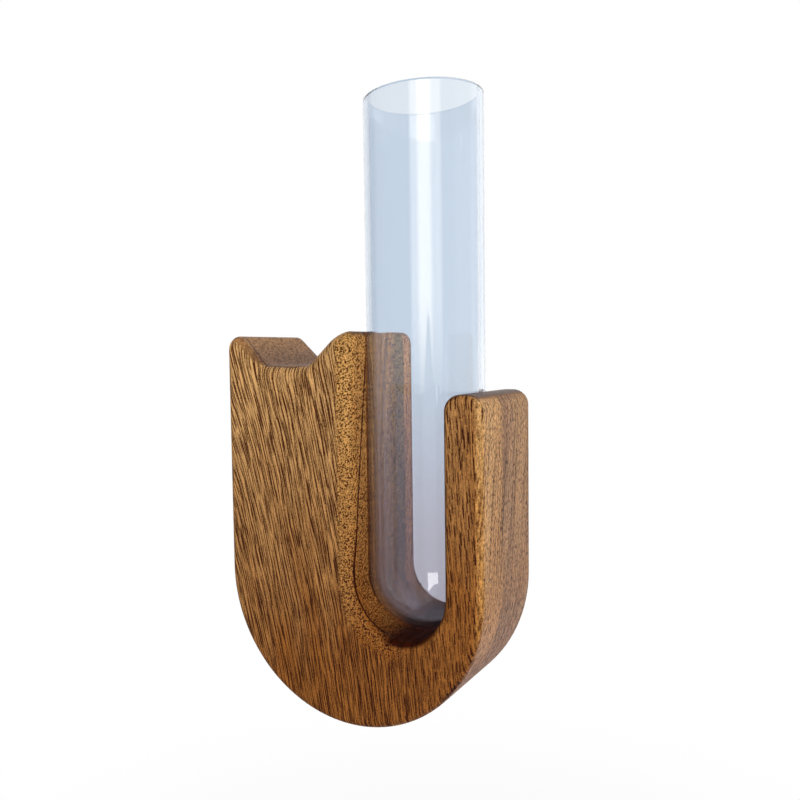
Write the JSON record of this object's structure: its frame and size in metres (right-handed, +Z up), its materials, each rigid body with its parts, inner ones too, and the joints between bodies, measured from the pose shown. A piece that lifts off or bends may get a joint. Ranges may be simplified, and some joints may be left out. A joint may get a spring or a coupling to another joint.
{
  "type": "test tube vase",
  "caption": "Slotted hardwood block with pointed ears and a slim arm that holds a round-bottomed glass test tube upright; magnets in its back hang it on steel to hold cut stems.",
  "frame": {"origin": "on the flat back face, in the middle of the wide body, level with the spring line where the round bottom begins", "axes": "+Z up along the tube, +Y out of the back face towards the steel surface, +X from the body towards the arm"},
  "size_m": [0.0612, 0.0265, 0.1308],
  "materials": {
    "hardwood": "oiled, satin, fine dark pores",
    "clear_glass": "clear, polished",
    "magnet_plating": "bright nickel plating"
  },
  "bodies": {
    "holder": {"wooden_holder": "hardwood", "magnet_upper": "magnet_plating", "magnet_lower": "magnet_plating"},
    "tube": {"test_tube": "clear_glass"}
  },
  "joints": [
    {"name": "tube_lift", "type": "slide", "parent": "holder", "child": "tube", "axis": [0, 0, 1], "range_m": [0, 0.066]}
  ]
}
